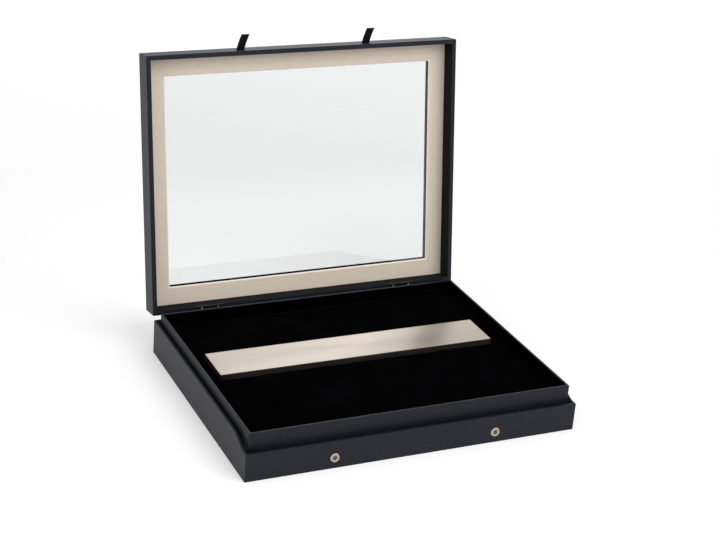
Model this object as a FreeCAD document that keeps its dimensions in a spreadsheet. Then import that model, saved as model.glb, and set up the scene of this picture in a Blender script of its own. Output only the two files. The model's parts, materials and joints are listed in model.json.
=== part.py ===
import FreeCAD, Part
import math
import os
import re
import Sketcher

# Knife display case with a hinged glass lid, standing open.
# Millimetres, +Z up, the front faces -Y, the origin is the middle of the underside.
# Lid pieces are drawn as if shut, with the hinge line as their own origin, then swung open.

SIZES = (
    # outer case
    ("case_width", 400.0), ("case_depth", 314.0), ("front_height", 33.0), ("side_height", 42.5),
    ("sheet_thick", 1.0), ("board_thick", 3.0), ("skirt_wall", 2.8),
    # S-shaped drop of the side walls towards the front
    ("drop_start", 6.0), ("drop_end", 46.0), ("drop_radius", 22.0),
    # channel between the skirt and the inner tray, and the tray walls
    ("front_channel", 6.4), ("side_channel", 3.4), ("front_spacer_top", 30.0),
    ("side_spacer_top", 36.0), ("liner_wall", 2.5), ("liner_top", 52.5),
    # rounding of covered board edges
    ("wrap_round", 0.8),
    # deck that carries the velvet
    ("deck_bottom", 31.5), ("deck_thick", 3.0), ("velvet_thick", 2.0), ("rib_width", 9.0),
    ("rib_reach", 150.0), ("lining_thick", 1.0), ("lining_drop", 1.0),
    # metal bar across the velvet
    ("bar_length", 344.0), ("bar_width", 54.0), ("bar_height", 7.5), ("bar_metal", 1.2),
    ("bar_front", 0.0), ("bar_round", 0.5), ("bar_screw_reach", 120.0), ("screw_shank", 3.0),
    ("screw_head", 6.0), ("screw_head_thick", 2.0), ("screw_grip", 8.0), ("screw_play", 0.1),
    # lid
    ("lid_depth", 311.0), ("lid_height", 28.0), ("rail_thick", 5.4), ("lid_gap", 0.4),
    ("top_thick", 4.0), ("glass_thick", 2.0), ("mat_thick", 1.5), ("mat_margin", 27.5),
    ("window_lip", 1.0), ("glass_play", 1.0), ("mat_bevel", 1.0), ("open_angle", 99.4),
    # hinges
    ("hinge_reach", 128.0), ("hinge_length", 34.0), ("leaf_thick", 1.2), ("pivot_out", 3.0),
    ("knuckle_radius", 2.0), ("pin_radius", 0.8), ("pin_play", 0.05), ("knuckle_play", 0.3),
    ("tack_shank", 1.2), ("tack_head", 2.6), ("tack_play", 0.05), ("head_thick", 0.6),
    ("tack_length", 6.0), ("tack_spread", 10.5),
    # locks
    ("lock_reach", 97.5), ("lock_height", 13.0), ("bezel_radius", 5.5), ("bezel_proud", 1.4),
    ("barrel_radius", 4.4), ("nut_radius", 6.6), ("nut_thick", 1.8), ("plug_radius", 2.9),
    ("plug_play", 0.08), ("plug_sunk", 0.5), ("cam_length", 11.0), ("cam_thick", 1.0),
    ("cam_width", 6.0), ("cam_gap", 0.4), ("keyway_width", 0.9), ("keyway_length", 3.4),
    ("keyway_depth", 2.9), ("bezel_lip", 0.5), ("bezel_dish", 0.4), ("bezel_bevel", 0.7),
    ("bezel_edge", 0.5), ("barrel_tail", 0.6), ("cam_screw_radius", 2.5), ("cam_screw_thick", 1.2),
    ("lock_room", 30.0), ("lock_room_top", 28.0),
    # ribbon tabs
    ("tab_reach", 81.0), ("tab_width", 10.0), ("tab_thick", 1.2), ("tab_rise", 11.0),
    ("tab_length", 18.0), ("tab_lean", 6.0), ("tab_slot_play", 0.3), ("tab_tail", 8.0),
    ("tab_root", 0.5),
)

doc = FreeCAD.newDocument("KnifeDisplayCase")
sheet = doc.addObject("Spreadsheet::Sheet", "Sizes")
for row, (word, value) in enumerate(SIZES, start=1):
    sheet.set("A%d" % row, word)
    sheet.set("B%d" % row, repr(value))
    sheet.setAlias("B%d" % row, word)
doc.recompute()

WORDS = {word for word, value in SIZES}
nodes = []


def formula(text):
    """Rewrite a formula in plain size words so that it reads the sheet."""
    def link(hit):
        return "Sizes." + hit.group(0) if hit.group(0) in WORDS else hit.group(0)
    return re.sub(r"[a-z_]+", link, text)


def number(text):
    """Value of a formula in size words."""
    return float(sheet.evalExpression(formula(text)))


def bind(thing, **formulas):
    """Tie properties of a document object to formulas in size words."""
    for name, text in formulas.items():
        thing.setExpression(name.replace("__", "."), formula(text))


def node(thing, label):
    """Name a finished piece and keep it for export."""
    thing.Label = label
    nodes.append(thing)
    return thing


def lid_node(thing, label):
    """Name a finished lid piece and swing it open about the hinge line."""
    swing = FreeCAD.Rotation(FreeCAD.Vector(-1, 0, 0), number("open_angle"))
    thing.Placement = FreeCAD.Placement(FreeCAD.Vector(0, number(HINGE_Y), number(HINGE_Z)), swing)
    bind(thing, Placement__Rotation__Angle="open_angle",
         Placement__Base__y=HINGE_Y, Placement__Base__z=HINGE_Z)
    return node(thing, label)


HINGE_Y = "case_depth/2 + pivot_out"
HINGE_Z = "side_height + lid_gap/2"
VELVET_TOP = "(deck_bottom + deck_thick + velvet_thick)"
LINER_BACK = "case_depth/2 - skirt_wall - side_channel"
LINER_FRONT = "-case_depth/2 + skirt_wall + front_channel"
LINER_SIDE = "case_width/2 - skirt_wall - side_channel"
RIM = "lid_gap/2"
LID_BACK = "-pivot_out"
LID_FRONT = "-pivot_out - lid_depth"
BASE_TACKS = "case_depth/2 - skirt_wall/2"
LID_TACKS = "-pivot_out - rail_thick/2"
SHANK_HALF = "((tack_shank/2 - tack_play)/2^0.5)"


def plane_of(body, role):
    """Origin plane of a body by its role."""
    return [item for item in body.Origin.OriginFeatures if item.Role == role][0]


def sketch_on(body, name, role, height="0"):
    """Empty sketch on an origin plane of its own body, raised along the plane's normal."""
    sketch = body.newObject("Sketcher::SketchObject", name)
    sketch.AttachmentSupport = [(plane_of(body, role), "")]
    sketch.MapMode = "FlatFace"
    sketch.AttachmentOffset = FreeCAD.Placement(FreeCAD.Vector(0, 0, number(height)), FreeCAD.Rotation())
    bind(sketch, AttachmentOffset__Base__z=height)
    return sketch


def pin_point(sketch, geometry, end, x, y, name):
    """Place a point of a sketch by two named dimensions tied to formulas."""
    for axis, text, line in (("X", x, -2), ("Y", y, -1)):
        if text == "0":
            sketch.addConstraint(Sketcher.Constraint("PointOnObject", geometry, end, line))
            continue
        value = number(text)
        index = sketch.addConstraint(Sketcher.Constraint("Distance" + axis, -1, 1, geometry, end, value))
        sketch.renameConstraint(index, name + axis)
        sketch.setExpression("Constraints." + name + axis, formula(text))


def polygon(sketch, corners, name):
    """Closed outline through corners given as formulas."""
    points = [FreeCAD.Vector(number(x), number(y), 0) for x, y in corners]
    first = sketch.GeometryCount
    count = len(points)
    for index in range(count):
        sketch.addGeometry(Part.LineSegment(points[index], points[(index + 1) % count]), False)
    for index in range(count):
        here = first + index
        after = first + (index + 1) % count
        sketch.addConstraint(Sketcher.Constraint("Coincident", here, 2, after, 1))
    for index, (x, y) in enumerate(corners):
        pin_point(sketch, first + index, 1, x, y, "%s%d" % (name, index))


def rectangle(sketch, x0, x1, y0, y1, name):
    """Rectangle whose sides stand at four formulas."""
    polygon(sketch, ((x0, y0), (x1, y0), (x1, y1), (x0, y1)), name)


def circle(sketch, x, y, radius, name):
    """Circle placed and sized by formulas."""
    middle = FreeCAD.Vector(number(x), number(y), 0)
    index = sketch.addGeometry(Part.Circle(middle, FreeCAD.Vector(0, 0, 1), number(radius)), False)
    pin_point(sketch, index, 3, x, y, name)
    place = sketch.addConstraint(Sketcher.Constraint("Radius", index, number(radius)))
    sketch.renameConstraint(place, name + "R")
    sketch.setExpression("Constraints." + name + "R", formula(radius))


def pad(body, sketch, name, length):
    """Pad of a sketch along its normal."""
    made = body.newObject("PartDesign::Pad", name)
    made.Profile = sketch
    made.Length = number(length)
    bind(made, Length=length)
    body.Tip = made
    return made


def pocket(body, sketch, name, depth, along_normal):
    """Blind pocket, cut along the sketch's normal or against it."""
    made = body.newObject("PartDesign::Pocket", name)
    made.Profile = sketch
    made.Length = number(depth)
    made.Reversed = along_normal
    bind(made, Length=depth)
    body.Tip = made
    return made


def new_body(name):
    """Empty body."""
    return doc.addObject("PartDesign::Body", name)


def slab(name, x0, x1, y0, y1, z0, z1):
    """Body with one rectangular pad between six formulas."""
    body = new_body(name)
    outline = sketch_on(body, name + "_outline", "XY_Plane", z0)
    rectangle(outline, x0, x1, y0, y1, "side")
    pad(body, outline, name + "_pad", "(%s) - (%s)" % (z1, z0))
    return body


def edges_on(body, *pairs):
    """Names of the edges of a body's last feature that lie in both planes of any pair."""
    doc.recompute()
    names = []
    for index, edge in enumerate(body.Tip.Shape.Edges, start=1):
        for pair in pairs:
            gaps = [abs(getattr(vertex.Point, axis) - number(text))
                    for vertex in edge.Vertexes for axis, text in pair]
            if max(gaps) < 1e-6:
                names.append("Edge%d" % index)
    return names


def ease(body, names, radius):
    """Round edges of a body's last feature, as covering cloth or paper rounds a board."""
    blank = body.Tip
    made = body.newObject("PartDesign::Fillet", body.Name + "_round")
    made.Base = (blank, names)
    made.Radius = number(radius)
    bind(made, Radius=radius)
    body.Tip = made


def base_sheet():
    """Covering sheet glued under the case, the face it rests on."""
    xs = ("-case_width/2", "case_width/2")
    ys = ("-case_depth/2", "case_depth/2")
    body = slab("BaseSheet", *xs, *ys, "0", "sheet_thick")
    posts = [(("x", x), ("y", y)) for x in xs for y in ys]
    ease(body, edges_on(body, *posts), "wrap_round")
    node(body, "base_sheet")


def base_board():
    """Bottom board inside the skirt."""
    body = slab("BaseBoard", "-case_width/2 + skirt_wall", "case_width/2 - skirt_wall",
                "-case_depth/2 + skirt_wall", "case_depth/2 - skirt_wall",
                "sheet_thick", "sheet_thick + board_thick")
    node(body, "base_board")


def skirt_front():
    """Low front wall, bored for the two lock barrels."""
    body = slab("SkirtFront", "-case_width/2 + skirt_wall", "case_width/2 - skirt_wall",
                "-case_depth/2", "-case_depth/2 + skirt_wall", "sheet_thick", "front_height")
    ease(body, edges_on(body, (("y", "-case_depth/2"), ("z", "front_height"))), "wrap_round")
    bores = sketch_on(body, "SkirtFront_bores", "XZ_Plane", "case_depth/2")
    circle(bores, "-lock_reach", "lock_height", "barrel_radius", "left")
    circle(bores, "lock_reach", "lock_height", "barrel_radius", "right")
    pocket(body, bores, "SkirtFront_pocket", "skirt_wall", False)
    node(body, "skirt_front")


def s_curve(sketch):
    """Two tangent arcs that fall from the side height to the front height."""
    ledge = number("front_height")
    top = number("side_height")
    start = number("-case_depth/2 + drop_start")
    end = number("-case_depth/2 + drop_end")
    low_radius = number("drop_radius")
    run = end - start
    rise = top - ledge
    turn = 2 * math.atan2(rise, run)
    high_radius = (run * run + rise * rise) / (2 * rise) - low_radius
    up = FreeCAD.Vector(0, 0, 1)
    low = Part.Circle(FreeCAD.Vector(start, ledge + low_radius, 0), up, low_radius)
    high = Part.Circle(FreeCAD.Vector(end, top - high_radius, 0), up, high_radius)
    quarter = math.pi / 2
    low_arc = sketch.addGeometry(Part.ArcOfCircle(low, -quarter, -quarter + turn), False)
    high_arc = sketch.addGeometry(Part.ArcOfCircle(high, quarter, quarter + turn), False)
    return low_arc, high_arc


def skirt_side(name, label, inner, outer):
    """Side wall whose top drops in an S to the height of the front wall, rounded along its outer edges."""
    body = new_body(name)
    profile = sketch_on(body, name + "_profile", "YZ_Plane", inner)
    front = number("-case_depth/2")
    back = number("case_depth/2")
    low = number("sheet_thick")
    ledge = number("front_height")
    top = number("side_height")
    start = front + number("drop_start")
    end = front + number("drop_end")
    corners = [(start, ledge), (front, ledge), (front, low), (back, low), (back, top), (end, top)]
    points = [FreeCAD.Vector(y, z, 0) for y, z in corners]
    for here, after in zip(points[:-1], points[1:]):
        profile.addGeometry(Part.LineSegment(here, after), False)
    low_arc, high_arc = s_curve(profile)
    for line in range(4):
        profile.addConstraint(Sketcher.Constraint("Coincident", line, 2, line + 1, 1))
    for line, way in enumerate(("Horizontal", "Vertical", "Horizontal", "Vertical", "Horizontal")):
        profile.addConstraint(Sketcher.Constraint(way, line))
    profile.addConstraint(Sketcher.Constraint("Tangent", 4, 2, high_arc, 1))
    profile.addConstraint(Sketcher.Constraint("Tangent", high_arc, 2, low_arc, 2))
    profile.addConstraint(Sketcher.Constraint("Tangent", low_arc, 1, 0, 1))
    pin_point(profile, 0, 1, "-case_depth/2 + drop_start", "front_height", "ledge")
    pin_point(profile, 1, 2, "-case_depth/2", "sheet_thick", "foot")
    pin_point(profile, 3, 2, "case_depth/2", "side_height", "back")
    index = profile.addConstraint(Sketcher.Constraint("DistanceX", -1, 1, 4, 2, end))
    profile.renameConstraint(index, "dropEnd")
    profile.setExpression("Constraints.dropEnd", formula("-case_depth/2 + drop_end"))
    index = profile.addConstraint(Sketcher.Constraint("Radius", low_arc, number("drop_radius")))
    profile.renameConstraint(index, "dropRadius")
    profile.setExpression("Constraints.dropRadius", formula("drop_radius"))
    pad(body, profile, name + "_pad", "skirt_wall")
    face = ("y", "-case_depth/2")
    tail = ("y", "case_depth/2")
    ends = edges_on(body, (("x", outer), face), (("x", outer), tail),
                    (face, ("z", "front_height")), (tail, ("z", "side_height")))
    ease(body, ends + crest(body, outer), "wrap_round")
    node(body, label)


def crest(body, outer):
    """Outer edges of a side wall's top, level stretches and arcs alike."""
    side = number(outer)
    ledge = number("front_height")
    names = []
    for index, edge in enumerate(body.Tip.Shape.Edges, start=1):
        if all(abs(vertex.X - side) < 1e-6 and vertex.Z > ledge - 1e-6 for vertex in edge.Vertexes):
            names.append("Edge%d" % index)
    return names


def skirt_back():
    """Back wall, let in at the top for the two hinge leaves."""
    body = slab("SkirtBack", "-case_width/2 + skirt_wall", "case_width/2 - skirt_wall",
                "case_depth/2 - skirt_wall", "case_depth/2", "sheet_thick", "side_height")
    ease(body, edges_on(body, (("y", "case_depth/2"), ("z", "side_height"))), "wrap_round")
    seats = sketch_on(body, "SkirtBack_seats", "XY_Plane", "side_height")
    for side, name in (("-", "left"), ("", "right")):
        rectangle(seats, side + "hinge_reach - hinge_length/2", side + "hinge_reach + hinge_length/2",
                  "case_depth/2 - rail_thick", "case_depth/2 + pivot_out", name)
    pocket(body, seats, "SkirtBack_pocket", "leaf_thick", False)
    tack_holes(body, "SkirtBack", "side_height", BASE_TACKS, False)
    node(body, "skirt_back")


def tack_holes(body, name, height, middle, upward):
    """Square holes for the shanks of the tacks of both hinges, from a level of the piece."""
    holes = sketch_on(body, name + "_tack_holes", "XY_Plane", height)
    half = "(%s + tack_play)" % SHANK_HALF
    for side, mirror in (("Left", "-"), ("Right", "")):
        for letter, x in tack_places(mirror + "hinge_reach"):
            rectangle(holes, "%s - %s" % (x, half), "%s + %s" % (x, half),
                      "%s - %s" % (middle, half), "%s + %s" % (middle, half), side + letter)
    pocket(body, holes, name + "_tack_pocket", "tack_length", upward)


def tack_places(x):
    """Places of the two tacks of a hinge leaf along the hinge."""
    return (("A", x + " - tack_spread"), ("B", x + " + tack_spread"))


def spacers():
    """Strips that hold the inner tray off the skirt, below the open channel."""
    front = slab("SpacerFront", "-case_width/2 + skirt_wall", "case_width/2 - skirt_wall",
                 "-case_depth/2 + skirt_wall", LINER_FRONT, "sheet_thick + board_thick", "front_spacer_top")
    rooms = sketch_on(front, "SpacerFront_rooms", "XY_Plane", "sheet_thick + board_thick")
    for side, name in (("-", "left"), ("", "right")):
        rectangle(rooms, side + "lock_reach - lock_room/2", side + "lock_reach + lock_room/2",
                  "-case_depth/2 + skirt_wall", LINER_FRONT, name)
    pocket(front, rooms, "SpacerFront_pocket", "lock_room_top - sheet_thick - board_thick", True)
    node(front, "spacer_front")
    back = slab("SpacerBack", "-case_width/2 + skirt_wall", "case_width/2 - skirt_wall",
                LINER_BACK, "case_depth/2 - skirt_wall", "sheet_thick + board_thick",
                "side_height - leaf_thick")
    node(back, "spacer_back")
    for name, label, x0, x1 in (
            ("SpacerLeft", "spacer_left", "-case_width/2 + skirt_wall", "-(%s)" % LINER_SIDE),
            ("SpacerRight", "spacer_right", LINER_SIDE, "case_width/2 - skirt_wall")):
        strip = slab(name, x0, x1, LINER_FRONT, LINER_BACK, "sheet_thick + board_thick", "side_spacer_top")
        node(strip, label)


def liners():
    """Four walls of the inner tray, which stand up into the lid when it is shut."""
    low = "sheet_thick + board_thick"
    side = "(%s)" % LINER_SIDE
    walls = (
        ("LinerFront", "liner_front", "-" + side, side, LINER_FRONT, LINER_FRONT + " + liner_wall"),
        ("LinerBack", "liner_back", "-" + side, side, LINER_BACK + " - liner_wall", LINER_BACK),
        ("LinerLeft", "liner_left", "-" + side, "-" + side + " + liner_wall",
         LINER_FRONT + " + liner_wall", LINER_BACK + " - liner_wall"),
        ("LinerRight", "liner_right", side + " - liner_wall", side,
         LINER_FRONT + " + liner_wall", LINER_BACK + " - liner_wall"),
    )
    faces = (("y", LINER_FRONT), ("y", LINER_BACK), ("x", "-" + side), ("x", side))
    outer = [(face, ("z", "liner_top")) for face in faces] + [(x, y) for y in faces[:2] for x in faces[2:]]
    for name, label, x0, x1, y0, y1 in walls:
        wall = slab(name, x0, x1, y0, y1, low, "liner_top")
        ease(wall, edges_on(wall, *outer), "wrap_round")
        node(wall, label)


def deck():
    """Board under the velvet, on three ribs, bored for the screws of the bar."""
    side = "(%s) - liner_wall" % LINER_SIDE
    board = slab("DeckBoard", "-(%s)" % side, side, LINER_FRONT + " + liner_wall",
                 LINER_BACK + " - liner_wall", "deck_bottom", "deck_bottom + deck_thick")
    bores = sketch_on(board, "DeckBoard_bores", "XY_Plane", "deck_bottom")
    bar_bores(bores)
    pocket(board, bores, "DeckBoard_pocket", "deck_thick", True)
    node(board, "deck_board")
    for name, label, middle in (("RibLeft", "deck_rib_left", "-rib_reach"),
                                ("RibMiddle", "deck_rib_middle", "0"),
                                ("RibRight", "deck_rib_right", "rib_reach")):
        rib = slab(name, middle + " - rib_width/2", middle + " + rib_width/2",
                   LINER_FRONT + " + liner_wall", LINER_BACK + " - liner_wall",
                   "sheet_thick + board_thick", "deck_bottom")
        node(rib, label)


def bar_bores(sketch):
    """Clearance circles for the two screws of the bar."""
    circle(sketch, "-bar_screw_reach", "bar_front + bar_width/2", "screw_shank/2", "left")
    circle(sketch, "bar_screw_reach", "bar_front + bar_width/2", "screw_shank/2", "right")


def velvet():
    """Velvet pad on the deck and velvet strips on the tray walls."""
    side = "(%s) - liner_wall" % LINER_SIDE
    front = LINER_FRONT + " + liner_wall"
    back = LINER_BACK + " - liner_wall"
    floor = slab("VelvetFloor", "-(%s)" % side, side, front, back,
                 "deck_bottom + deck_thick", VELVET_TOP)
    bores = sketch_on(floor, "VelvetFloor_bores", "XY_Plane", "deck_bottom + deck_thick")
    bar_bores(bores)
    pocket(floor, bores, "VelvetFloor_pocket", "velvet_thick", True)
    node(floor, "velvet_floor")
    top = "liner_top - lining_drop"
    strips = (
        ("LiningFront", "velvet_front", "-(%s)" % side, side, front, front + " + lining_thick"),
        ("LiningBack", "velvet_back", "-(%s)" % side, side, back + " - lining_thick", back),
        ("LiningLeft", "velvet_left", "-(%s)" % side, "-(%s) + lining_thick" % side,
         front + " + lining_thick", back + " - lining_thick"),
        ("LiningRight", "velvet_right", "%s - lining_thick" % side, side,
         front + " + lining_thick", back + " - lining_thick"),
    )
    for name, label, x0, x1, y0, y1 in strips:
        node(slab(name, x0, x1, y0, y1, VELVET_TOP, top), label)


def bar():
    """Folded metal bar over a wooden core, held by screws from under the deck."""
    cover = slab("BarCover", "-bar_length/2", "bar_length/2", "bar_front", "bar_front + bar_width",
                 VELVET_TOP, VELVET_TOP + " + bar_height")
    top = ("z", VELVET_TOP + " + bar_height")
    ends = (("x", "-bar_length/2"), ("x", "bar_length/2"), ("y", "bar_front"), ("y", "bar_front + bar_width"))
    ease(cover, edges_on(cover, *[(top, end) for end in ends]), "bar_round")
    hollow = sketch_on(cover, "BarCover_hollow", "XY_Plane", VELVET_TOP)
    rectangle(hollow, "-bar_length/2 + bar_metal", "bar_length/2 - bar_metal",
              "bar_front + bar_metal", "bar_front + bar_width - bar_metal", "inside")
    pocket(cover, hollow, "BarCover_pocket", "bar_height - bar_metal", True)
    node(cover, "bar_cover")
    core = slab("BarCore", "-bar_length/2 + bar_metal", "bar_length/2 - bar_metal",
                "bar_front + bar_metal", "bar_front + bar_width - bar_metal",
                VELVET_TOP, VELVET_TOP + " + bar_height - bar_metal")
    bores = sketch_on(core, "BarCore_bores", "XY_Plane", VELVET_TOP)
    bar_bores(bores)
    pocket(core, bores, "BarCore_pocket", "screw_grip - deck_thick - velvet_thick + screw_play", True)
    node(core, "bar_core")


def turned(name, profile, x, y, z, tilt):
    """Turned piece from an outline of (radius, distance along its axis), tilted about X."""
    body = new_body(name)
    outline = sketch_on(body, name + "_outline", "XY_Plane")
    polygon(outline, profile, "turn")
    made = body.newObject("PartDesign::Revolution", name + "_turning")
    made.Profile = outline
    made.ReferenceAxis = (outline, ["V_Axis"])
    made.Angle = 360
    body.Tip = made
    place = FreeCAD.Vector(number(x), number(y), number(z))
    body.Placement = FreeCAD.Placement(place, FreeCAD.Rotation(FreeCAD.Vector(1, 0, 0), tilt))
    bind(body, Placement__Base__x=x, Placement__Base__y=y, Placement__Base__z=z)
    return body


def bar_screws():
    """Two flat-headed screws that hold the bar down from below."""
    made = []
    for side, name in (("-", "Left"), ("", "Right")):
        screw = turned("BarScrew" + name,
                       (("0", "-screw_head_thick"), ("screw_head/2", "-screw_head_thick"),
                        ("screw_head/2", "0"), ("screw_shank/2 - screw_play", "0"),
                        ("screw_shank/2 - screw_play", "screw_grip"), ("0", "screw_grip")),
                       side + "bar_screw_reach", "bar_front + bar_width/2", "deck_bottom", 90)
        made.append(screw)
    group = doc.addObject("Part::Compound", "BarScrews")
    group.Links = made
    node(group, "bar_screws")


def locks():
    """Two cylinder locks: barrel and nut in the front wall, and a plug that turns a cam."""
    behind = "skirt_wall"
    for side, name, label in (("-", "Left", "left"), ("", "Right", "right")):
        place = (side + "lock_reach", "-case_depth/2", "lock_height")
        bore = "plug_radius + plug_play"
        rim = "bezel_radius"
        tail = behind + " + nut_thick + barrel_tail"
        barrel = turned("LockBarrel" + name,
                        ((bore, "-bezel_proud + bezel_dish"), (bore + " + bezel_lip", "-bezel_proud"),
                         (rim + " - bezel_bevel", "-bezel_proud"), (rim, "-bezel_edge"), (rim, "0"),
                         ("barrel_radius", "0"), ("barrel_radius", tail), (bore, tail)),
                        *place, 0)
        node(barrel, "lock_barrel_" + label)
        nut = doc.addObject("Part::Prism", "LockNutBlank" + name)
        nut.Polygon = 6
        bind(nut, Circumradius="nut_radius", Height="nut_thick")
        nut.Placement.Rotation = FreeCAD.Rotation(FreeCAD.Vector(1, 0, 0), -90)
        bind(nut, Placement__Base__x=place[0], Placement__Base__y="-case_depth/2 + skirt_wall",
             Placement__Base__z=place[2])
        thread = doc.addObject("Part::Cylinder", "LockNutBore" + name)
        bind(thread, Radius="barrel_radius", Height="nut_thick*3")
        thread.Placement.Rotation = FreeCAD.Rotation(FreeCAD.Vector(1, 0, 0), -90)
        bind(thread, Placement__Base__x=place[0], Placement__Base__y="-case_depth/2 + skirt_wall - nut_thick",
             Placement__Base__z=place[2])
        ring = doc.addObject("Part::Cut", "LockNut" + name)
        ring.Base = nut
        ring.Tool = thread
        node(ring, "lock_nut_" + label)
        plug = turned("LockPlug" + name,
                      (("0", "-bezel_proud + plug_sunk"), ("plug_radius", "-bezel_proud + plug_sunk"),
                       ("plug_radius", tail + " + cam_gap"), ("0", tail + " + cam_gap")),
                      *place, 0)
        keyway = sketch_on(plug, "LockPlug%s_keyway" % name, "XZ_Plane", "bezel_proud")
        rectangle(keyway, "-keyway_width/2", "keyway_width/2", "-keyway_length/2", "keyway_length/2", "slot")
        pocket(plug, keyway, "LockPlug%s_slot" % name, "keyway_depth", False)
        node(plug, "lock_plug_" + label)
        node(cam(name, side, tail + " + cam_gap"), "lock_cam_" + label)
        screw = turned("CamScrew" + name,
                       (("0", "0"), ("cam_screw_radius", "0"), ("cam_screw_radius", "cam_screw_thick"),
                        ("0", "cam_screw_thick")),
                       place[0], "-case_depth/2 + %s + cam_gap + cam_thick" % tail, place[2], 0)
        node(screw, "cam_screw_" + label)


def cam(name, side, depth):
    """Flat cam with a rounded free end, on the back of a lock plug."""
    body = new_body("LockCam" + name)
    outline = sketch_on(body, "LockCam%s_outline" % name, "XZ_Plane", "-(%s)" % depth)
    inward = "" if side == "-" else "-"
    half = "cam_width/2"
    far = inward + "(cam_length - cam_width/2)"
    corners = (("0", "-" + half), (far, "-" + half), (far, half), ("0", half))
    polygon(outline, corners, "blade")
    pad_back(body, outline, "LockCam%s_blade" % name)
    for part, middle in (("Boss", "0"), ("End", far)):
        disc = sketch_on(body, "LockCam%s_%s" % (name, part.lower()), "XZ_Plane", "-(%s)" % depth)
        circle(disc, middle, "0", half, "round")
        pad_back(body, disc, "LockCam%s_%s" % (name, part))
    bind(body, Placement__Base__x=side + "lock_reach", Placement__Base__y="-case_depth/2",
         Placement__Base__z="lock_height")
    return body


def pad_back(body, sketch, name):
    """Pad of the cam's thickness, away from the front."""
    made = pad(body, sketch, name, "cam_thick")
    made.Reversed = True


def lid_frame():
    """Top frame, four rails and the lined mat of the lid."""
    top = "lid_height + " + RIM
    deep = top + " - top_thick"
    side = "case_width/2"
    ends = (("x", "-" + side), ("x", side), ("y", LID_FRONT), ("y", LID_BACK))
    posts = [(x, y) for x in ends[:2] for y in ends[2:]]
    frame = slab("LidTop", "-" + side, side, LID_FRONT, LID_BACK, deep, top)
    ease(frame, edges_on(frame, *posts, *[(end, ("z", top)) for end in ends]), "wrap_round")
    window(frame, "LidTop", deep, "top_thick", "(mat_margin + window_lip)")
    lid_node(frame, "lid_top_frame")
    rims = [(end, ("z", RIM)) for end in ends]
    for name, label, x0, x1 in (("RailLeft", "lid_rail_left", "-" + side, "-%s + rail_thick" % side),
                                ("RailRight", "lid_rail_right", side + " - rail_thick", side)):
        rail = slab(name, x0, x1, LID_FRONT, LID_BACK, RIM, deep)
        ease(rail, edges_on(rail, *posts, *rims), "wrap_round")
        lid_node(rail, label)
    inner = "case_width/2 - rail_thick"
    front = slab("RailFront", "-(%s)" % inner, inner, LID_FRONT, LID_FRONT + " + rail_thick", RIM, deep)
    ease(front, edges_on(front, *rims), "wrap_round")
    slots = sketch_on(front, "RailFront_slots", "XZ_Plane", "-(%s)" % LID_FRONT)
    for mirror, name in (("-", "left"), ("", "right")):
        rectangle(slots, mirror + "tab_reach - tab_width/2 - tab_slot_play",
                  mirror + "tab_reach + tab_width/2 + tab_slot_play",
                  RIM + " + tab_rise - tab_thick/2 - tab_slot_play",
                  RIM + " + tab_rise + tab_thick/2 + tab_slot_play", name)
    pocket(front, slots, "RailFront_pocket", "rail_thick", False)
    lid_node(front, "lid_rail_front")
    back = slab("RailBack", "-(%s)" % inner, inner, LID_BACK + " - rail_thick", LID_BACK, RIM, deep)
    ease(back, edges_on(back, *rims), "wrap_round")
    seats = sketch_on(back, "RailBack_seats", "XY_Plane", RIM)
    for mirror, name in (("-", "left"), ("", "right")):
        rectangle(seats, mirror + "hinge_reach - hinge_length/2", mirror + "hinge_reach + hinge_length/2",
                  LID_BACK + " - rail_thick", LID_BACK + " + pivot_out", name)
    pocket(back, seats, "RailBack_pocket", "leaf_thick", True)
    tack_holes(back, "RailBack", RIM, LID_TACKS, True)
    lid_node(back, "lid_rail_back")


def window(body, name, height, thickness, margin):
    """Window cut through a lid panel, a margin in from the lid's sides."""
    opening = sketch_on(body, name + "_window", "XY_Plane", height)
    rectangle(opening, "-case_width/2 + " + margin, "case_width/2 - " + margin,
              LID_FRONT + " + " + margin, LID_BACK + " - " + margin, "light")
    pocket(body, opening, name + "_cut", thickness, True)


def glazing():
    """Glass pane under the top frame and the bevelled mat that holds it there."""
    deep = "lid_height + %s - top_thick" % RIM
    inner = "case_width/2 - rail_thick"
    front = LID_FRONT + " + rail_thick"
    back = LID_BACK + " - rail_thick"
    pane = slab("GlassPane", "-(%s) + glass_play" % inner, inner + " - glass_play",
                front + " + glass_play", back + " - glass_play", deep + " - glass_thick", deep)
    lid_node(pane, "glass_pane")
    low = deep + " - glass_thick - mat_thick"
    mat = slab("MatFrame", "-(%s)" % inner, inner, front, back, low, deep + " - glass_thick")
    window(mat, "MatFrame", low, "mat_thick", "mat_margin")
    sides = (("x", "-case_width/2 + mat_margin"), ("x", "case_width/2 - mat_margin"),
             ("y", LID_FRONT + " + mat_margin"), ("y", LID_BACK + " - mat_margin"))
    inner_edges = edges_on(mat, *[(side, ("z", low)) for side in sides])
    blank = mat.Tip
    bevel = mat.newObject("PartDesign::Chamfer", "MatFrame_bevel")
    bevel.Base = (blank, inner_edges)
    bevel.Size = number("mat_bevel")
    bind(bevel, Size="mat_bevel")
    mat.Tip = bevel
    lid_node(mat, "mat_frame")


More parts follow.
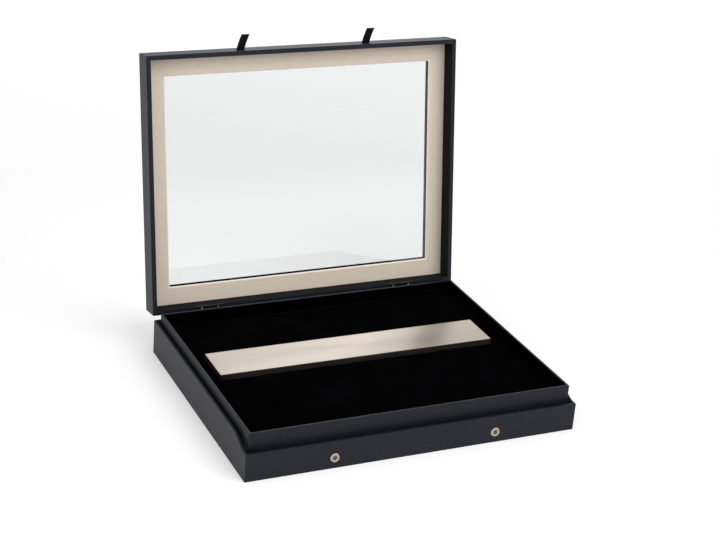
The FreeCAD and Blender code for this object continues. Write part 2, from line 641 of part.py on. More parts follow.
def pull_tabs():
    """Folded ribbon through the front rail, glued down inside, with a free end to pull."""
    rise = RIM + " + tab_rise"
    inside = LID_FRONT + " + rail_thick"
    for side, name, label in (("-", "Left", "left"), ("", "Right", "right")):
        middle = side + "tab_reach"
        body = new_body("PullTab" + name)
        fold = sketch_on(body, "PullTab%s_fold" % name, "YZ_Plane", middle + " - tab_width/2")
        polygon(fold, ((LID_FRONT + " - tab_root", rise + " - tab_thick/2"),
                       (inside + " + tab_thick", rise + " - tab_thick/2"),
                       (inside + " + tab_thick", rise + " + tab_tail"), (inside, rise + " + tab_tail"),
                       (inside, rise + " + tab_thick/2"),
                       (LID_FRONT + " - tab_root", rise + " + tab_thick/2")), "fold")
        pad(body, fold, "PullTab%s_root" % name, "tab_width")
        tongue = sketch_on(body, "PullTab%s_tongue" % name, "XY_Plane", rise + " - tab_thick/2")
        polygon(tongue, ((middle + " - tab_width/2", LID_FRONT),
                         (middle + " + tab_width/2", LID_FRONT),
                         (middle + " + tab_width/2 + tab_lean", LID_FRONT + " - tab_length"),
                         (middle + " - tab_width/2 + tab_lean", LID_FRONT + " - tab_length")), "tongue")
        pad(body, tongue, "PullTab%s_free" % name, "tab_thick")
        lid_node(body, "pull_tab_" + label)


def box(name, x, y0, y1, z, length, height):
    """Box centred on x and z, between two y formulas."""
    made = doc.addObject("Part::Box", name)
    bind(made, Length=length, Width="(%s) - (%s)" % (y1, y0), Height=height,
         Placement__Base__x="%s - (%s)/2" % (x, length), Placement__Base__y=y0,
         Placement__Base__z="%s - (%s)/2" % (z, height))
    return made


def rod(name, x, y, z, radius, length):
    """Round bar along X, centred on x."""
    made = doc.addObject("Part::Cylinder", name)
    made.Placement.Rotation = FreeCAD.Rotation(FreeCAD.Vector(0, 1, 0), 90)
    bind(made, Radius=radius, Height=length, Placement__Base__x="%s - (%s)/2" % (x, length),
         Placement__Base__y=y, Placement__Base__z=z)
    return made


def join(name, pieces):
    """Union of pieces."""
    made = doc.addObject("Part::MultiFuse", name)
    made.Shapes = pieces
    return made


def take(name, base, tools):
    """Base piece less the tools."""
    made = doc.addObject("Part::Cut", name)
    made.Base = base
    made.Tool = join(name + "Tools", tools)
    return made


def tack_bore(name, x, y, z, face_up):
    """Stepped bore through a leaf, with its wide end in the open face."""
    open_face = "%s + leaf_thick/2" % z if face_up else "%s - leaf_thick/2 - 1" % z
    head_floor = "%s - head_thick" % open_face if face_up else open_face
    bores = []
    for part, radius, low, height in (
            ("Shank", "tack_shank/2", z + " - leaf_thick", "2*leaf_thick"),
            ("Head", "tack_head/2", head_floor, "head_thick + 1")):
        bore = doc.addObject("Part::Cylinder", name + part)
        bind(bore, Radius=radius, Height=height, Placement__Base__x=x, Placement__Base__y=y,
             Placement__Base__z=low)
        bores.append(bore)
    return bores


def hinge_leaf(name, x, axis_y, axis_z, tack_y, face_up):
    """Leaf with its share of the three knuckles, bored for the pin and counterbored for the tacks."""
    inner = "%s - pivot_out - rail_thick" % axis_y
    level = "%s %s (lid_gap/2 + leaf_thick/2)" % (axis_z, "-" if face_up else "+")
    plate = box(name + "Plate", x, inner, axis_y, level, "hinge_length", "leaf_thick")
    barrel = rod(name + "Barrel", x, axis_y, axis_z, "knuckle_radius", "hinge_length")
    tools = [rod(name + "Bore", x, axis_y, axis_z, "pin_radius + pin_play", "hinge_length + 2")]
    front_clear = "%s - pivot_out + knuckle_play" % axis_y
    back_clear = "%s + pivot_out" % axis_y
    for place in (0,) if face_up else (-1, 1):
        middle = "%s + (%d)*hinge_length/3" % (x, place)
        tools.append(box("%sGap%d" % (name, place + 1), middle, front_clear, back_clear, axis_z,
                         "hinge_length/3 + 2*knuckle_play", "3*knuckle_radius"))
    for letter, middle in tack_places(x):
        tools.extend(tack_bore(name + letter, middle, tack_y, level, face_up))
    return take(name, join(name + "Blank", [plate, barrel]), tools)


def tacks(name, y, z, downward):
    """Cut tacks of both hinges, round in the head and square in the shank, as one group."""
    made = []
    head_low = z + " - head_thick + tack_play" if downward else z
    shank_middle = z + (" - tack_length/2" if downward else " + tack_length/2")
    for side, mirror in (("Left", "-"), ("Right", "")):
        for letter, x in tack_places(mirror + "hinge_reach"):
            shank = box(name + side + letter + "Shank", x, "%s - %s" % (y, SHANK_HALF),
                        "%s + %s" % (y, SHANK_HALF), shank_middle, "2*" + SHANK_HALF, "tack_length")
            head = doc.addObject("Part::Cylinder", name + side + letter + "Head")
            bind(head, Radius="tack_head/2 - tack_play", Height="head_thick - tack_play",
                 Placement__Base__x=x, Placement__Base__y=y, Placement__Base__z=head_low)
            made.append(join(name + side + letter, [head, shank]))
    group = doc.addObject("Part::Compound", name)
    group.Links = made
    return group


def hinges():
    """Two three-knuckle box hinges with their pins and tacks."""
    for side, name, label in (("-", "Left", "left"), ("", "Right", "right")):
        x = side + "hinge_reach"
        node(hinge_leaf("BaseLeaf" + name, x, HINGE_Y, HINGE_Z, BASE_TACKS, True), "hinge_base_leaf_" + label)
        lid_node(hinge_leaf("LidLeaf" + name, x, "0", "0", LID_TACKS, False), "hinge_lid_leaf_" + label)
        node(rod("HingePin" + name, x, HINGE_Y, HINGE_Z, "pin_radius", "hinge_length"), "hinge_pin_" + label)
    node(tacks("BaseTacks", BASE_TACKS, "side_height", True), "hinge_base_tacks")
    lid_node(tacks("LidTacks", LID_TACKS, RIM, False), "hinge_lid_tacks")


def write_parts():
    """Check every piece, then write one file for each."""
    doc.recompute()
    for thing in doc.Objects:
        state = thing.State
        if "Invalid" in state or "Error" in state:
            raise RuntimeError("%s is %s" % (thing.Name, state))
    os.makedirs("parts", exist_ok=True)
    for thing in nodes:
        shape = thing.Shape
        if shape.isNull() or not shape.isValid():
            raise RuntimeError("bad shape: " + thing.Label)
        shape.exportStep("parts/%s.step" % thing.Label)
        print("%-24s solids %d volume %.1f" % (thing.Label, len(shape.Solids), shape.Volume))


base_sheet()
base_board()
skirt_front()
skirt_side("SkirtLeft", "skirt_left", "-case_width/2", "-case_width/2")
skirt_side("SkirtRight", "skirt_right", "case_width/2 - skirt_wall", "case_width/2")
skirt_back()
spacers()
liners()
deck()
velvet()
bar()
bar_screws()
locks()
lid_frame()
glazing()
pull_tabs()
hinges()
write_parts()
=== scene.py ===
import json
import math

import bmesh
import bpy
from mathutils import Matrix, Vector


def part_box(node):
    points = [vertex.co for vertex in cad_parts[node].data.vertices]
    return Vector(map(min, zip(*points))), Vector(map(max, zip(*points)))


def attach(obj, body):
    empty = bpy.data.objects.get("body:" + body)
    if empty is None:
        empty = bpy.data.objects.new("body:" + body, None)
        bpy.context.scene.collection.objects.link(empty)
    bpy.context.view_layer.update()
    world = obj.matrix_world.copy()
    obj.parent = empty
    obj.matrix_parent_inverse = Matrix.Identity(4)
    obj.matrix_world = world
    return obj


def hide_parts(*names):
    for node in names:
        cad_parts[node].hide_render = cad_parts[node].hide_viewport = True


# Knife display case with an open glass lid: finishes, velvet, satin mat and ribbons around the frame.
# Metres, in the frame's own axes: +Z up, the front of the case faces -Y.

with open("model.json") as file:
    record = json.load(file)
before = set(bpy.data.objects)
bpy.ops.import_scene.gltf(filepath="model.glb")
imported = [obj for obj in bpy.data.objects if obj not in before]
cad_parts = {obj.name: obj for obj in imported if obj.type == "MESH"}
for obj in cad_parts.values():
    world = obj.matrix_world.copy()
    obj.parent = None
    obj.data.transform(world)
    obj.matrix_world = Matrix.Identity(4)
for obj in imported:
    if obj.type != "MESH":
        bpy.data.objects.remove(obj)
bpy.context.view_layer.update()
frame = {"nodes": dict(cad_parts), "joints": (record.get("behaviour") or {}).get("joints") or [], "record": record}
MM = 0.001

LID = next(joint for joint in frame["joints"] if joint["name"] == "lid_hinge")
PIVOT = Vector(LID["pos_m"])
OPENING = math.radians(LID["range_deg"][1])
SWING = Matrix.Translation(PIVOT) @ Matrix.Rotation(-OPENING, 4, "X")

# The camera's place is in metres, its angles in degrees.
CAMERA_PLACE = (-0.7708, -1.5672, 0.9238)
CAMERA_AZIMUTH = -25.835
CAMERA_ELEVATION = 23.824
CAMERA_ROLL = 4.606
CAMERA_LENS = 84.49

WINDOW_MARGIN = 27.5 * MM
MAT_BEVEL = 1.5 * MM
MAT_OVERLAP = 0.8 * MM
RIBBON_WIDTH = 10.0 * MM
RIBBON_LAYER = 0.35 * MM
RIBBON_LEAN = 6.0 * MM
RIBBON_CURL = 1.6 * MM

WORLD_LIGHT = 0.45
FLOOR_REACH = 12.0
FLOOR_GLOW = (0.335, 0.67)
FLOOR_GLOW_REACH = (0.8, 2.6)

WRAP_COLOUR = (0.0108, 0.0112, 0.0185)
BOARD_COLOUR = (0.30, 0.215, 0.14)
PAPER_COLOUR = (0.006, 0.006, 0.007)
VELVET_COLOUR = (0.0009, 0.0009, 0.0013)
SATIN_COLOUR = (0.78, 0.675, 0.56)
CORE_COLOUR = (0.96, 0.90, 0.81)
CHAMPAGNE_COLOUR = (0.50, 0.445, 0.388)
BRONZE_COLOUR = (0.08, 0.07, 0.06)
TACK_COLOUR = (0.80, 0.72, 0.60)
STEEL_COLOUR = (0.55, 0.55, 0.56)
RING_COLOUR = (0.50, 0.44, 0.37)
PLUG_COLOUR = (0.20, 0.15, 0.11)
RIBBON_COLOUR = (0.002, 0.002, 0.0024)
GLASS_COLOUR = (0.82, 0.83, 0.828)


def shut_box(node):
    """Lowest and highest corner of a lid node in hinge coordinates, as if the lid were shut."""
    back = SWING.inverted()
    points = [back @ vertex.co for vertex in frame["nodes"][node].data.vertices]
    low = Vector([min(point[axis] for point in points) for axis in range(3)])
    high = Vector([max(point[axis] for point in points) for axis in range(3)])
    return low, high


class Finish:
    """A material with one Principled shader and procedural detail around it."""

    def __init__(self, name, colour, roughness, **sockets):
        self.material = bpy.data.materials.new(name)
        self.material.use_nodes = True
        self.tree = self.material.node_tree
        self.shader = self.tree.nodes["Principled BSDF"]
        self.colour = colour
        self.shader.inputs["Base Color"].default_value = (*colour, 1)
        self.shader.inputs["Roughness"].default_value = roughness
        for socket, value in sockets.items():
            self.shader.inputs[socket.replace("_", " ")].default_value = value
        self.place = self.tree.nodes.new("ShaderNodeTexCoord").outputs["Object"]

    def link(self, source, target):
        self.tree.links.new(source, target)

    def stretched(self, scale):
        """Object coordinates scaled along each axis."""
        mapping = self.tree.nodes.new("ShaderNodeMapping")
        mapping.inputs["Scale"].default_value = scale
        self.link(self.place, mapping.inputs["Vector"])
        return mapping.outputs["Vector"]

    def noise(self, scale, detail=3.0, stretch=(1, 1, 1)):
        """Noise value between 0 and 1."""
        texture = self.tree.nodes.new("ShaderNodeTexNoise")
        texture.inputs["Scale"].default_value = scale
        texture.inputs["Detail"].default_value = detail
        self.link(self.stretched(stretch), texture.inputs["Vector"])
        return texture.outputs["Fac"]

    def cells(self, scale, stretch=(1, 1, 1)):
        """Distance to the nearest cell middle, for grain."""
        texture = self.tree.nodes.new("ShaderNodeTexVoronoi")
        texture.feature = "SMOOTH_F1"
        texture.inputs["Scale"].default_value = scale
        texture.inputs["Smoothness"].default_value = 0.6
        self.link(self.stretched(stretch), texture.inputs["Vector"])
        return texture.outputs["Distance"]

    def threads(self, period, axis):
        """Sine ridges of a period in metres, across one axis."""
        texture = self.tree.nodes.new("ShaderNodeTexWave")
        texture.bands_direction = axis
        texture.inputs["Scale"].default_value = math.tau / (20 * period)
        texture.inputs["Distortion"].default_value = 0.6
        texture.inputs["Detail"].default_value = 1.0
        texture.inputs["Detail Scale"].default_value = 2.0
        self.link(self.place, texture.inputs["Vector"])
        return texture.outputs["Fac"]

    def spread(self, source, low, high, span=(0, 1)):
        """A value within a span spread over a new range."""
        node = self.tree.nodes.new("ShaderNodeMapRange")
        node.inputs["From Min"].default_value = span[0]
        node.inputs["From Max"].default_value = span[1]
        node.inputs["To Min"].default_value = low
        node.inputs["To Max"].default_value = high
        self.link(source, node.inputs["Value"])
        return node.outputs["Result"]

    def sum(self, first, second, share):
        """First value plus a share of the second."""
        node = self.tree.nodes.new("ShaderNodeMath")
        node.operation = "MULTIPLY_ADD"
        node.inputs[1].default_value = share
        self.link(second, node.inputs[0])
        self.link(first, node.inputs[2])
        return node.outputs["Value"]

    def tint(self, source, darkest, lightest):
        """Vary the base colour between two shares of itself."""
        ramp = self.tree.nodes.new("ShaderNodeValToRGB")
        for element, share in zip(ramp.color_ramp.elements, (darkest, lightest)):
            element.color = (*[min(1.0, part * share) for part in self.colour], 1)
        ramp.color_ramp.elements[0].position = 0.3
        ramp.color_ramp.elements[1].position = 0.7
        self.link(source, ramp.inputs["Fac"])
        self.link(ramp.outputs["Color"], self.shader.inputs["Base Color"])

    def rough(self, source, low, high):
        """Vary the roughness."""
        self.link(self.spread(source, low, high), self.shader.inputs["Roughness"])

    def bump(self, source, depth, strength=1.0):
        """Relief of a depth in metres."""
        node = self.tree.nodes.new("ShaderNodeBump")
        node.inputs["Strength"].default_value = strength
        node.inputs["Distance"].default_value = depth
        self.link(source, node.inputs["Height"])
        self.link(node.outputs["Normal"], self.shader.inputs["Normal"])


def wrap_finish():
    """Charcoal leatherette paper: fine pebbled grain with faint cloudiness."""
    finish = Finish("charcoal_wrap", WRAP_COLOUR, 0.5, Specular_IOR_Level=0.2)
    grain = finish.cells(1700)
    finish.tint(finish.noise(260, 5), 0.85, 1.18)
    finish.rough(finish.noise(900, 2), 0.40, 0.54)
    finish.bump(finish.sum(grain, finish.noise(700, 4), 0.7), 0.08 * MM, 0.6)
    return finish.material


def board_finish():
    """Raw fibreboard with short fibres."""
    finish = Finish("board", BOARD_COLOUR, 0.85, Specular_IOR_Level=0.2)
    fibres = finish.noise(900, 6, (0.4, 1, 1))
    finish.tint(fibres, 0.75, 1.2)
    finish.bump(fibres, 0.08 * MM, 0.5)
    return finish.material


def paper_finish():
    """Black paper on the spacer strips; also laid on the inward faces of the lid as painted shade."""
    finish = Finish("black_paper", PAPER_COLOUR, 0.8, Specular_IOR_Level=0.12)
    finish.tint(finish.noise(500, 4), 0.8, 1.3)
    finish.bump(finish.noise(1500, 3), 0.03 * MM, 0.5)
    return finish.material


def velvet_finish():
    """Black velvet: deep pile with a soft sheen and lie marks."""
    finish = Finish("black_velvet", VELVET_COLOUR, 0.95, Specular_IOR_Level=0.0,
                    Sheen_Weight=0.008, Sheen_Roughness=0.35)
    finish.tint(finish.noise(22, 3), 0.6, 1.6)
    finish.bump(finish.sum(finish.noise(2600, 2), finish.noise(60, 2), 0.6), 0.25 * MM, 0.6)
    return finish.material


def satin_finish():
    """Ivory satin glued over the mat: fine threads both ways with slight slubs."""
    finish = Finish("ivory_satin", SATIN_COLOUR, 0.55, Specular_IOR_Level=0.3,
                    Sheen_Weight=0.12, Sheen_Roughness=0.4)
    weave = finish.sum(finish.threads(0.42 * MM, "X"), finish.threads(0.42 * MM, "Z"), 0.8)
    finish.tint(finish.noise(420, 5, (0.25, 1, 1)), 0.965, 1.035)
    finish.rough(finish.noise(300, 3, (0.2, 1, 1)), 0.46, 0.62)
    finish.bump(weave, 0.02 * MM, 0.35)
    return finish.material


def core_finish():
    """Pale core of the mat board, seen in its bevelled cut."""
    finish = Finish("mat_core", CORE_COLOUR, 0.6, Specular_IOR_Level=0.3)
    fibres = finish.noise(1100, 4)
    finish.tint(fibres, 0.95, 1.04)
    finish.bump(fibres, 0.02 * MM, 0.4)
    return finish.material


def champagne_finish():
    """Champagne anodised metal, brushed along the bar."""
    finish = Finish("champagne_metal", CHAMPAGNE_COLOUR, 0.3, Metallic=1.0, Anisotropic=0.5)
    lines = finish.noise(1.0, 6, (14, 2600, 2600))
    finish.tint(finish.sum(lines, finish.noise(9, 2), 0.25), 0.90, 1.05)
    finish.rough(lines, 0.30, 0.46)
    finish.bump(lines, 0.012 * MM, 0.35)
    return finish.material


def metal_finish(name, colour, low, high):
    """Plain metal with fine handling marks."""
    finish = Finish(name, colour, low, Metallic=1.0)
    marks = finish.noise(1400, 4)
    finish.tint(finish.noise(500, 3), 0.85, 1.1)
    finish.rough(marks, low, high)
    finish.bump(marks, 0.01 * MM, 0.3)
    return finish.material


def glass_finish():
    """Clear float glass."""
    finish = Finish("glass", GLASS_COLOUR, 0.0, Transmission_Weight=1.0, IOR=1.5, Specular_IOR_Level=0.3)
    finish.rough(finish.noise(30, 2), 0.0, 0.012)
    return finish.material


def ribbon_finish():
    """Black grosgrain ribbon with fine ribs across it."""
    finish = Finish("black_ribbon", RIBBON_COLOUR, 0.6, Specular_IOR_Level=0.12,
                    Sheen_Weight=0.03, Sheen_Roughness=0.3)
    finish.tint(finish.noise(900, 3), 0.7, 1.4)
    finish.bump(finish.threads(0.55 * MM, "Z"), 0.06 * MM, 0.7)
    return finish.material


FINISHES = {
    "charcoal_wrap": wrap_finish(),
    "board": board_finish(),
    "black_paper": paper_finish(),
    "black_velvet": velvet_finish(),
    "ivory_satin": satin_finish(),
    "mat_core": core_finish(),
    "champagne_metal": champagne_finish(),
    "hinge_metal": metal_finish("hinge_metal", BRONZE_COLOUR, 0.25, 0.4),
    "tack_brass": metal_finish("tack_brass", TACK_COLOUR, 0.40, 0.52),
    "steel": metal_finish("steel", STEEL_COLOUR, 0.25, 0.45),
    "lock_ring": metal_finish("lock_ring", RING_COLOUR, 0.12, 0.24),
    "lock_plug": metal_finish("lock_plug", PLUG_COLOUR, 0.25, 0.4),
    "glass": glass_finish(),
    "black_ribbon": ribbon_finish(),
}


def dress_nodes():
    """Give every frame node the finish of its material slot, and paint shade on the inside of the lid as black paper.
    """
    for part in frame["record"]["subparts"]:
        data = frame["nodes"][part["node"]].data
        data.materials.clear()
        data.materials.append(FINISHES[part["material_slot"]])
    frame["nodes"]["hinge_lid_tacks"].data.materials[0] = FINISHES["tack_brass"]
    frame["nodes"]["hinge_base_tacks"].data.materials[0] = FINISHES["tack_brass"]
    # painted shade: black paper on the inward faces of the lid rails and top frame stands in for the shade there
    for name in ("lid_rail_left", "lid_rail_right", "lid_rail_front", "lid_rail_back", "lid_top_frame"):
        paint_shade_inside(frame["nodes"][name])
    frame["nodes"]["glass_pane"].visible_shadow = False


def paint_shade_inside(item):
    """Painted shade: black paper on the faces of a lid piece that look in towards the middle of the lid, or at the
    glass, where the wrap lies in shade.
    """
    back = SWING.inverted()
    low, high = shut_box("lid_top_frame")
    middle = (low + high) / 2
    item.data.materials.append(FINISHES["black_paper"])
    for polygon in item.data.polygons:
        facing = back.to_3x3() @ polygon.normal
        inward = middle - back @ polygon.center
        sideways = abs(facing.z) < 0.1 and max(abs(facing.x), abs(facing.y)) > 0.99
        at_glass = item.name == "lid_top_frame" and facing.z < -0.9
        # inward faces and the lip at the glass take the black paper as painted shade
        if at_glass or sideways and facing.x * inward.x + facing.y * inward.y > 0.05:
            polygon.material_index = 1


def new_piece(name, mesh, slot, body, replaced):
    """Finished piece that stands for a frame node and rides on its body."""
    mesh.normal_update()
    data = bpy.data.meshes.new(name)
    mesh.to_mesh(data)
    mesh.free()
    data.materials.append(FINISHES[slot])
    piece = bpy.data.objects.new(name, data)
    bpy.context.scene.collection.objects.link(piece)
    for polygon in data.polygons:
        polygon.use_smooth = True
    data.set_sharp_from_angle(angle=math.radians(40))
    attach(piece, body)
    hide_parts(replaced)
    return piece


def cushioned_steps(length, radius, cell):
    """Distances along one side of a pad: close together round its edges, even between them."""
    bends = [radius * (1 - math.cos(math.radians(angle))) for angle in (0, 22.5, 45, 67.5)]
    count = max(1, round((length - 2 * radius) / cell))
    middle = [radius + (length - 2 * radius) * step / count for step in range(count + 1)]
    return bends + middle + [length - bend for bend in reversed(bends)]


def edge_drop(distance, length, radius):
    """How far a rounded pad falls below its top near its sides."""
    near = min(distance, length - distance, radius)
    return radius - math.sqrt(max(0.0, radius * radius - (radius - near) ** 2))


def velvet_pad(name, low, high, facing, radius, cell, wave):
    """Pad over a box whose soft face looks along facing, with rounded edges and a slightly uneven face."""
    up = Vector(facing)
    across = Vector((0, 0, 1)) if up.z == 0 else Vector((1, 0, 0))
    along = up.cross(across)
    corners = [Vector((x, y, z)) for x in (low.x, high.x) for y in (low.y, high.y) for z in (low.z, high.z)]
    base_u = min(corner.dot(along) for corner in corners)
    base_v = min(corner.dot(across) for corner in corners)
    floor = min(corner.dot(up) for corner in corners)
    top = max(corner.dot(up) for corner in corners)
    width = max(corner.dot(along) for corner in corners) - base_u
    height = max(corner.dot(across) for corner in corners) - base_v
    steps_u = cushioned_steps(width, radius, cell)
    steps_v = cushioned_steps(height, radius, cell)
    mesh = bmesh.new()
    rows = []
    for u in steps_u:
        row = []
        for v in steps_v:
            inset = min(u, v, width - u, height - v) / (12 * MM)
            ripple = wave * min(1.0, inset) * (math.sin(u * 61 + 2 * math.sin(v * 37)) + math.sin(v * 83 + u * 29)) / 2
            fall = edge_drop(u, width, radius) + edge_drop(v, height, radius)
            level = max(floor + 0.2 * MM, top - wave - fall + ripple)
            row.append(mesh.verts.new(along * (base_u + u) + across * (base_v + v) + up * level))
        rows.append(row)
    for left, right in zip(rows, rows[1:]):
        for index in range(len(steps_v) - 1):
            mesh.faces.new((left[index], right[index], right[index + 1], left[index + 1]))
    rim = [edge for edge in mesh.edges if edge.is_boundary]
    walls = bmesh.ops.extrude_edge_only(mesh, edges=rim)
    for vertex in [item for item in walls["geom"] if isinstance(item, bmesh.types.BMVert)]:
        vertex.co += up * (floor - vertex.co.dot(up))
    bmesh.ops.holes_fill(mesh, edges=[edge for edge in mesh.edges if edge.is_boundary])
    bmesh.ops.recalc_face_normals(mesh, faces=mesh.faces)
    return mesh


def velvet():
    """Velvet floor pad and the four strips on the tray walls."""
    floor_low, floor_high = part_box("velvet_floor")
    mesh = velvet_pad("tray", floor_low, floor_high, (0, 0, 1), 1.2 * MM, 6 * MM, 0.12 * MM)
    pad = new_piece("velvet_tray_pad", mesh, "black_velvet", "base", "velvet_floor")
    facings = {"front": (0, 1, 0), "back": (0, -1, 0), "left": (1, 0, 0), "right": (-1, 0, 0)}
    for side, facing in facings.items():
        low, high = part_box("velvet_" + side)
        mesh = velvet_pad(side, low, high, facing, 0.5 * MM, 6 * MM, 0.06 * MM)
        new_piece("velvet_lining_" + side, mesh, "black_velvet", "base", "velvet_" + side)


def mat():
    """Satin-covered mat of the lid: a frame with mitred corners and a pale bevelled cut round the window.

    Its window reaches a little past the frame's lip on the left and at the top, as the photo shows it.
    """
    low, high = shut_box("mat_frame")
    lid_low, lid_high = shut_box("lid_top_frame")
    window = (lid_low.x + WINDOW_MARGIN + MAT_OVERLAP, lid_high.x - WINDOW_MARGIN,
              lid_low.y + WINDOW_MARGIN + MAT_OVERLAP, lid_high.y - WINDOW_MARGIN)
    edge = 0.35 * MM
    steps = [(0.0, high.z), (0.0, high.z - 0.1 * MM), (MAT_BEVEL - 0.3 * MM, low.z + 0.25 * MM),
             (MAT_BEVEL - 0.1 * MM, low.z + 0.07 * MM), (MAT_BEVEL + 0.15 * MM, low.z)]
    outlines = [(window[0] - out, window[1] + out, window[2] - out, window[3] + out, level)
                for out, level in steps]
    outlines.append((low.x + edge, high.x - edge, low.y + edge, high.y - edge, low.z))
    outlines.append((low.x, high.x, low.y, high.y, low.z + edge))
    outlines.append((low.x, high.x, low.y, high.y, high.z))
    mesh = bmesh.new()
    loops = []
    for x0, x1, y0, y1, level in outlines:
        corners = ((x0, y0), (x1, y0), (x1, y1), (x0, y1))
        loops.append([mesh.verts.new((x, y, level)) for x, y in corners])
    for ring, (first, second) in enumerate(zip(loops, loops[1:] + loops[:1])):
        for corner in range(4):
            after = (corner + 1) % 4
            face = mesh.faces.new((first[corner], first[after], second[after], second[corner]))
            face.material_index = 1 if ring < 2 else 0
    bmesh.ops.recalc_face_normals(mesh, faces=mesh.faces)
    mesh.transform(SWING)
    piece = new_piece("satin_mat", mesh, "ivory_satin", "lid", "mat_frame")
    piece.data.materials.append(FINISHES["mat_core"])


def ribbon_line(middle_x, root, tip, inside, level, tail):
    """Centre line of a ribbon loop: glued tail, out through the rail, round the fold and back."""
    gap = RIBBON_LAYER * 0.75
    outward = []
    count = 16
    for step in range(count + 1):
        share = step / count
        y = root + (tip - root) * share
        x = middle_x + RIBBON_LEAN * share ** 1.15
        curl = -RIBBON_CURL * share * share
        outward.append((x, y, level + curl))
    low_layer = [(x, y, z - gap) for x, y, z in outward]
    high_layer = [(x, y, z + gap) for x, y, z in reversed(outward)]
    turn = [(outward[-1][0], tip - gap * math.sin(angle), outward[-1][2] - gap * math.cos(angle))
            for angle in (math.radians(45), math.radians(90), math.radians(135))]
    near = inside + RIBBON_LAYER * 0.6
    far = near + 2 * gap
    start = [(middle_x, far, level + tail), (middle_x, far, level + gap + RIBBON_LAYER),
             (middle_x, far - 0.25 * RIBBON_LAYER, level - gap * 0.2), (middle_x, near, level - gap)]
    end = [(middle_x, near - RIBBON_LAYER * 0.2, level + gap * 1.1), (middle_x, near, level + gap * 2),
           (middle_x, near, level + tail)]
    return start + low_layer + turn + high_layer + end


def ribbons():
    """The two ribbon loops that lift the lid."""
    for side, sign in (("left", -1), ("right", 1)):
        low, high = shut_box("pull_tab_" + side)
        rail_low, rail_high = shut_box("lid_rail_front")
        tip = low.y + 0.3 * MM
        middle_x = (low.x + high.x - RIBBON_LEAN) / 2
        level = low.z + 0.6 * MM
        line = ribbon_line(middle_x, rail_low.y, tip, rail_high.y, level, 7.5 * MM)
        mesh, length = strip(line, RIBBON_WIDTH, RIBBON_LAYER)
        mesh.transform(SWING)
        piece = new_piece("ribbon_" + side, mesh, "black_ribbon", "lid", "pull_tab_" + side)


def strip(line, width, thickness):
    """Band of even width along X that follows a line, and the line's length."""
    points = [Vector(point) for point in line]
    length = sum((after - here).length for here, after in zip(points, points[1:]))
    mesh = bmesh.new()
    rings = []
    for index, point in enumerate(points):
        before = points[max(0, index - 1)]
        after = points[min(len(points) - 1, index + 1)]
        heading = Vector((0, after.y - before.y, after.z - before.z)).normalized()
        out = Vector((1, 0, 0)).cross(heading) * (thickness / 2)
        shares = (-0.5, -0.47, 0.0, 0.47, 0.5)
        upper = [point + Vector((width * share, 0, 0)) + out * (0.4 if abs(share) == 0.5 else 1.0)
                 for share in shares]
        lower = [point + Vector((width * share, 0, 0)) - out * (0.4 if abs(share) == 0.5 else 1.0)
                 for share in reversed(shares)]
        rings.append([mesh.verts.new(place) for place in upper + lower])
    for first, second in zip(rings, rings[1:]):
        count = len(first)
        for index in range(count):
            after = (index + 1) % count
            mesh.faces.new((first[index], first[after], second[after], second[index]))
    mesh.faces.new(rings[0])
    mesh.faces.new(list(reversed(rings[-1])))
    bmesh.ops.recalc_face_normals(mesh, faces=mesh.faces)
    return mesh, length


def white_rays(tree):
    """1 for camera, glossy and transmission rays, 0 for the rest."""
    path = tree.nodes.new("ShaderNodeLightPath")
    total = path.outputs["Is Camera Ray"]
    for ray in ("Is Glossy Ray", "Is Transmission Ray"):
        node = tree.nodes.new("ShaderNodeMath")
        node.operation = "MAXIMUM"
        tree.links.new(total, node.inputs[0])
        tree.links.new(path.outputs[ray], node.inputs[1])
        total = node.outputs["Value"]
    return total


def surroundings():
    """White surroundings that light the object at a plain level."""
    world = bpy.data.worlds.new("white_room")
    bpy.context.scene.world = world
    world.use_nodes = True
    tree = world.node_tree
    background = tree.nodes["Background"]
    background.inputs["Color"].default_value = (1, 1, 1, 1)
    strength = tree.nodes.new("ShaderNodeMapRange")
    strength.inputs["To Min"].default_value = WORLD_LIGHT
    strength.inputs["To Max"].default_value = 1.0
    tree.links.new(white_rays(tree), strength.inputs["Value"])
    tree.links.new(strength.outputs["Result"], background.inputs["Strength"])


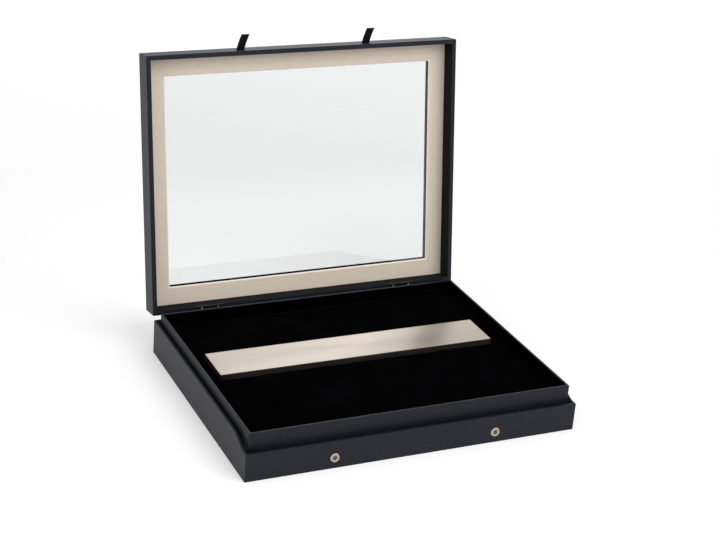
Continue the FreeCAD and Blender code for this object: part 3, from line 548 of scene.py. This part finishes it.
def floor():
    """Pale floor that stays white into the distance and keeps the shadow of the case."""
    mesh = bmesh.new()
    bmesh.ops.create_grid(mesh, x_segments=1, y_segments=1, size=FLOOR_REACH)
    data = bpy.data.meshes.new("floor")
    mesh.to_mesh(data)
    mesh.free()
    plane = bpy.data.objects.new("floor", data)
    plane.location.z = -0.05 * MM
    bpy.context.scene.collection.objects.link(plane)
    finish = Finish("floor", (0.85, 0.85, 0.85), 0.9, Specular_IOR_Level=0.0, Emission_Color=(1, 1, 1, 1))
    distance = finish.tree.nodes.new("ShaderNodeVectorMath")
    distance.operation = "LENGTH"
    finish.link(finish.place, distance.inputs[0])
    glow = finish.spread(distance.outputs["Value"], *FLOOR_GLOW, FLOOR_GLOW_REACH)
    seen = finish.tree.nodes.new("ShaderNodeMath")
    seen.operation = "MULTIPLY"
    finish.link(glow, seen.inputs[0])
    finish.link(white_rays(finish.tree), seen.inputs[1])
    finish.link(seen.outputs["Value"], finish.shader.inputs["Emission Strength"])
    data.materials.append(finish.material)


def lamp(name, place, aim, size, power, mirrored=False):
    """Soft square lamp that points at a spot on the case, and shows in glass and metal only if mirrored."""
    data = bpy.data.lights.new(name, "AREA")
    data.size = size
    data.energy = power
    item = bpy.data.objects.new(name, data)
    item.location = place
    item.rotation_mode = "QUATERNION"
    item.rotation_quaternion = (Vector(aim) - Vector(place)).to_track_quat("-Z", "Y")
    item.visible_glossy = mirrored
    bpy.context.scene.collection.objects.link(item)


def camera():
    """Camera at the photograph's angle."""
    azimuth = math.radians(CAMERA_AZIMUTH)
    elevation = math.radians(CAMERA_ELEVATION)
    roll = math.radians(CAMERA_ROLL)
    back = Vector((math.sin(azimuth) * math.cos(elevation), -math.cos(azimuth) * math.cos(elevation),
                   math.sin(elevation)))
    level = Vector((0, 0, 1)).cross(back).normalized()
    upright = back.cross(level)
    right = level * math.cos(roll) + upright * math.sin(roll)
    up = upright * math.cos(roll) - level * math.sin(roll)
    data = bpy.data.cameras.new("camera")
    data.lens = CAMERA_LENS
    item = bpy.data.objects.new("camera", data)
    item.rotation_mode = "QUATERNION"
    item.rotation_quaternion = Matrix((right, up, back)).transposed().to_quaternion()
    item.location = CAMERA_PLACE
    data.clip_start = 0.05
    data.clip_end = 50
    bpy.context.scene.collection.objects.link(item)
    bpy.context.scene.camera = item


dress_nodes()
velvet()
mat()
ribbons()
surroundings()
floor()
lamp("key", (0.75, -1.60, 1.85), (0, 0.1, 0.15), 2.2, 38)
lamp("left_fill", (-1.8, -0.3, 0.9), (0, 0, 0.1), 1.2, 8)
lamp("back_glow", (0.53, 1.34, 0.68), (0, 0, 0.04), 0.5, 0.8, True)
camera()
bpy.context.scene.view_settings.view_transform = "Standard"
